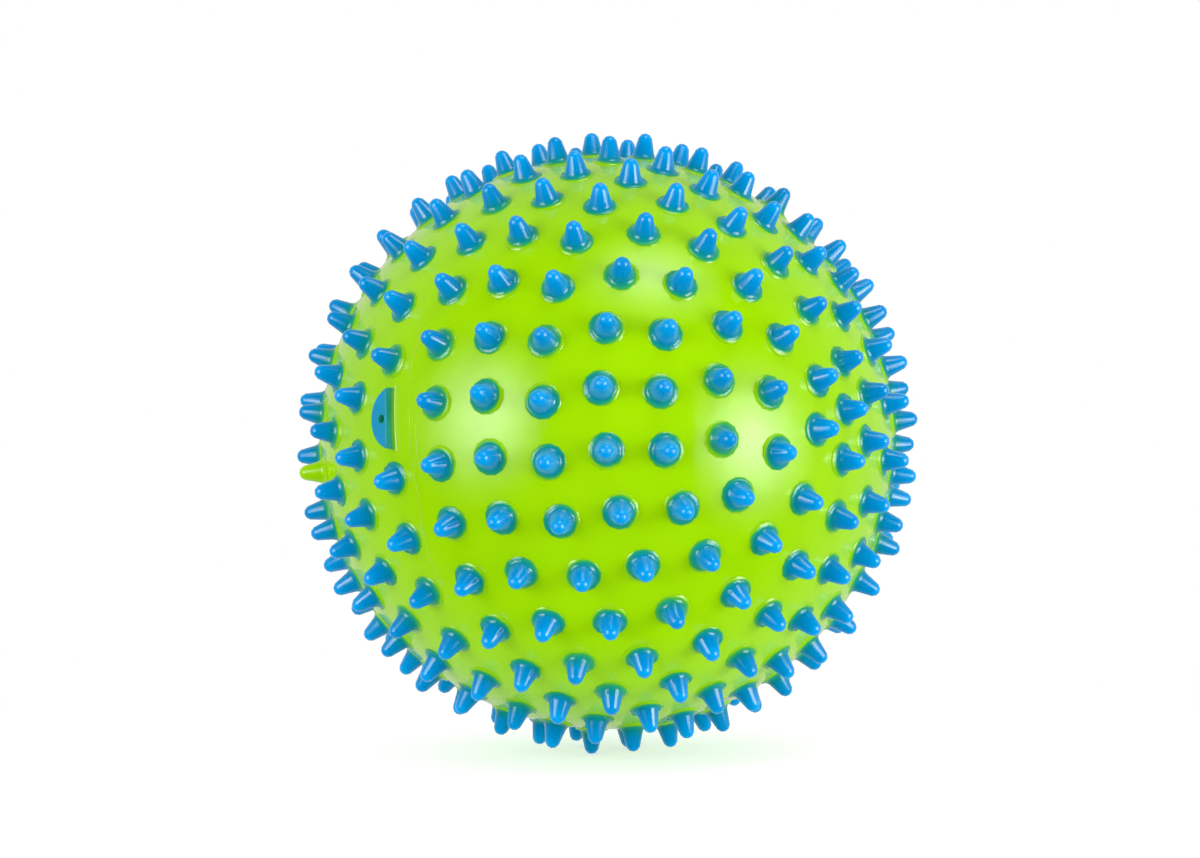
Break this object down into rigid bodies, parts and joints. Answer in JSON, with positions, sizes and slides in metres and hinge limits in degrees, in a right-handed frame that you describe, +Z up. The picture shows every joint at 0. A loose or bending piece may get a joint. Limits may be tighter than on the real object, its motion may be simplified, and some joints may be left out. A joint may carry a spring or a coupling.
{
  "type": "sensory ball",
  "caption": "Soft hollow ball covered in rings of rounded bell-shaped nubs, with a needle valve in a raised pad beside its parting seam.",
  "frame": {"origin": "centre of the ball", "axes": "+Z up as the ball lies on a table, -Y towards the viewer, +X to the viewer's right; over its nubs the ball measures a little less along Z than along X and Y"},
  "size_m": [0.1801, 0.1802, 0.1798],
  "materials": {
    "skin_green": "glossy translucent soft PVC",
    "nub_blue": "glossy soft PVC",
    "plug_rubber": "matt rubber"
  },
  "bodies": {
    "root": {"ball_shell": "skin_green", "valve_pad": "nub_blue", "valve_plug": "plug_rubber", "nub_pole_front": "nub_blue", "nub_ring_front_1": "nub_blue", "nub_ring_front_2": "nub_blue", "nub_ring_front_3": "nub_blue", "nub_ring_front_4": "nub_blue", "nub_ring_front_5": "nub_blue", "nub_ring_front_6": "nub_blue", "nub_ring_front_7": "nub_blue", "nub_ring_front_8": "nub_blue", "nub_pole_back": "nub_blue", "nub_ring_back_1": "nub_blue", "nub_ring_back_2": "nub_blue", "nub_ring_back_3": "nub_blue", "nub_ring_back_4": "nub_blue", "nub_ring_back_5": "nub_blue", "nub_ring_back_6": "nub_blue", "nub_ring_back_7": "nub_blue", "nub_ring_back_8": "nub_blue"}
  },
  "joints": []
}
